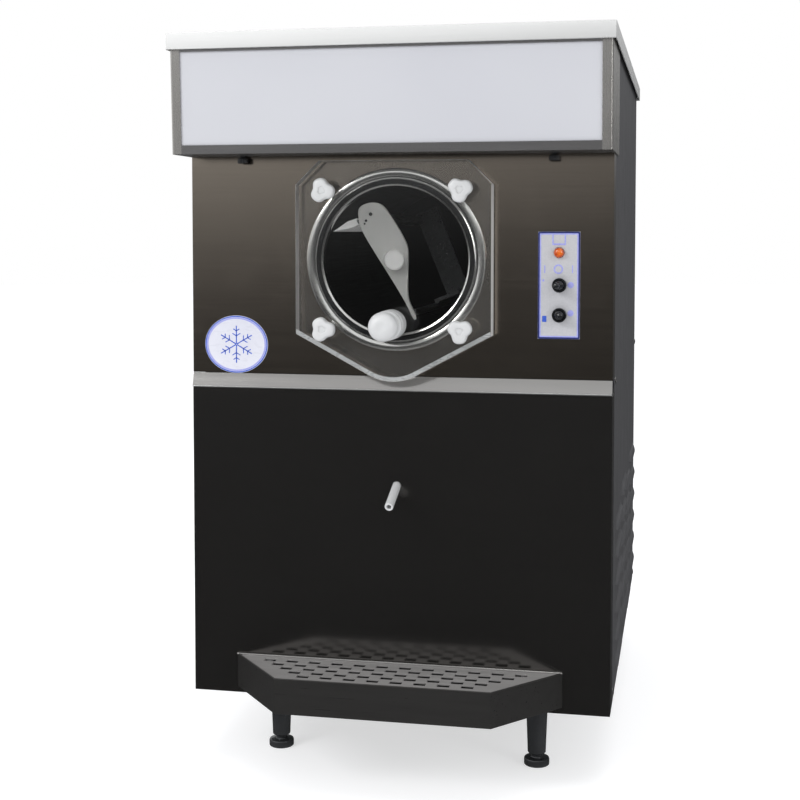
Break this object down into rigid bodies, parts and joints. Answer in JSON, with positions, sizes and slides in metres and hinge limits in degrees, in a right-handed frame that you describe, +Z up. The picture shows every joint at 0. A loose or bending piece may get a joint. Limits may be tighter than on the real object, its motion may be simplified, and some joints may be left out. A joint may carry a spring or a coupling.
{
  "type": "countertop frozen dessert freezer",
  "caption": "Countertop soft ice and slush freezer: horizontal freezing cylinder behind a clear plate, hopper under a lid, lit hood, drip tray and levelling feet.",
  "frame": {"origin": "on the floor, under the middle of the machine's overall footprint, drip tray included", "axes": "+Z up, +Y from the front panel to the back, +X to the right as seen by someone facing the front"},
  "size_m": [0.4594, 0.6872, 0.7811],
  "materials": {
    "bright_steel": "brushed stainless, satin",
    "dark_steel": "polished stainless that mirrors a dark room",
    "black_steel": "polished black stainless",
    "dasher_steel": "satin",
    "galvanised": "zinc-coated sheet",
    "lens_plastic": "translucent white sheet",
    "white_paint": "white enamel",
    "lamp_glass": "frosted white tube",
    "copper": "copper tube",
    "foam": "closed-cell foam",
    "clear_acrylic": "clear polished acrylic",
    "black_rubber": "satin rubber",
    "white_plastic": "white acetal",
    "cast_grey": "grey paint on a casting",
    "black_paint": "black enamel",
    "aluminium_fins": "plain aluminium",
    "label_face": "printed plastic film",
    "orange_lens": "moulded orange lens",
    "black_plastic": "gloss black moulding"
  },
  "bodies": {
    "root": {"base_pan": "galvanised", "mid_shelf": "galvanised", "side_panel_left": "dark_steel", "side_panel_right": "dark_steel", "rear_panel": "dark_steel", "upper_front_panel": "dark_steel", "lower_front_panel": "black_steel", "mid_trim": "bright_steel", "hood_frame": "bright_steel", "hood_lens": "lens_plastic", "lamp_fixture": "white_paint", "hood_lamp_tube": "lamp_glass", "freezing_cylinder": "bright_steel", "evaporator_jacket": "copper", "cylinder_insulation": "foam", "stud_plate": "bright_steel", "face_plate": "clear_acrylic", "face_gasket": "black_rubber", "valve_body": "white_plastic", "rear_seal": "black_rubber", "drive_bracket": "galvanised", "gearbox": "cast_grey", "beater_motor": "black_paint", "hopper": "bright_steel", "compressor": "black_paint", "discharge_line": "copper", "suction_line": "copper", "condenser": "aluminium_fins", "fan_shroud": "black_paint", "fan_motor": "cast_grey", "control_label_plate": "label_face", "pilot_lamp": "orange_lens", "switch_block": "black_plastic", "electrical_box": "galvanised", "cord_gland": "black_plastic", "seal_drain_tube": "white_plastic", "leg_front_left": "black_plastic", "leg_front_right": "black_plastic", "leg_rear_left": "black_plastic", "leg_rear_right": "black_plastic"},
    "lid": {"top_lid": "bright_steel"},
    "dasher": {"dasher_frame": "bright_steel", "dasher_front_bar": "dasher_steel", "dasher_knob": "white_plastic", "scraper_blade_front": "white_plastic", "scraper_blade_rear": "white_plastic"},
    "fan": {"fan_blade": "aluminium_fins"},
    "plunger": {"valve_plunger": "white_plastic"},
    "toggle_upper": {"toggle_lever_upper": "black_rubber"},
    "toggle_lower": {"toggle_lever_lower": "black_rubber"},
    "tray": {"drip_tray": "black_steel"},
    "grid": {"drip_grid": "bright_steel"},
    "knob_upper_left": {"star_knob_upper_left": "white_plastic"},
    "knob_upper_right": {"star_knob_upper_right": "white_plastic"},
    "knob_lower_left": {"star_knob_lower_left": "white_plastic"},
    "knob_lower_right": {"star_knob_lower_right": "white_plastic"},
    "foot_front_left": {"levelling_foot_front_left": "black_plastic"},
    "foot_front_right": {"levelling_foot_front_right": "black_plastic"},
    "foot_rear_left": {"levelling_foot_rear_left": "black_plastic"},
    "foot_rear_right": {"levelling_foot_rear_right": "black_plastic"}
  },
  "joints": [
    {"name": "lid_lift", "type": "slide", "parent": "root", "child": "lid", "axis": [0, 0, 1], "range_m": [0, 0.15]},
    {"name": "dasher_spin", "type": "hinge", "parent": "root", "child": "dasher", "pos_m": [0, 0, 0.54752], "axis": [0, 1, 0], "continuous": true},
    {"name": "fan_spin", "type": "hinge", "parent": "root", "child": "fan", "pos_m": [0, 0.246, 0.2097], "axis": [0, 1, 0], "continuous": true},
    {"name": "toggle_upper_tilt", "type": "hinge", "parent": "root", "child": "toggle_upper", "pos_m": [0.1706, -0.2716, 0.5222], "axis": [0, 0, 1], "range_deg": [0, 24]},
    {"name": "toggle_lower_tilt", "type": "hinge", "parent": "root", "child": "toggle_lower", "pos_m": [0.1706, -0.2716, 0.4916], "axis": [0, 0, 1], "range_deg": [-24, 0]},
    {"name": "plunger_pull", "type": "slide", "parent": "root", "child": "plunger", "axis": [0, -1, 0], "range_m": [0, 0.015]},
    {"name": "tray_lift", "type": "slide", "parent": "root", "child": "tray", "axis": [0, 0, 1], "range_m": [0, 0.0065]},
    {"name": "grid_lift", "type": "slide", "parent": "tray", "child": "grid", "axis": [0, 0, 1], "range_m": [0, 0.06]},
    {"name": "knob_upper_left_turn", "type": "hinge", "parent": "root", "child": "knob_upper_left", "pos_m": [-0.07198, -0.294, 0.6195], "axis": [0, 1, 0], "continuous": true},
    {"name": "knob_upper_right_turn", "type": "hinge", "parent": "root", "child": "knob_upper_right", "pos_m": [0.07198, -0.294, 0.6195], "axis": [0, 1, 0], "continuous": true},
    {"name": "knob_lower_left_turn", "type": "hinge", "parent": "root", "child": "knob_lower_left", "pos_m": [-0.07198, -0.294, 0.47554], "axis": [0, 1, 0], "continuous": true},
    {"name": "knob_lower_right_turn", "type": "hinge", "parent": "root", "child": "knob_lower_right", "pos_m": [0.07198, -0.294, 0.47554], "axis": [0, 1, 0], "continuous": true},
    {"name": "foot_front_left_screw", "type": "slide", "parent": "root", "child": "foot_front_left", "axis": [0, 0, -1], "range_m": [0, 0.012]},
    {"name": "foot_front_right_screw", "type": "slide", "parent": "root", "child": "foot_front_right", "axis": [0, 0, -1], "range_m": [0, 0.012]},
    {"name": "foot_rear_left_screw", "type": "slide", "parent": "root", "child": "foot_rear_left", "axis": [0, 0, -1], "range_m": [0, 0.012]},
    {"name": "foot_rear_right_screw", "type": "slide", "parent": "root", "child": "foot_rear_right", "axis": [0, 0, -1], "range_m": [0, 0.012]}
  ]
}
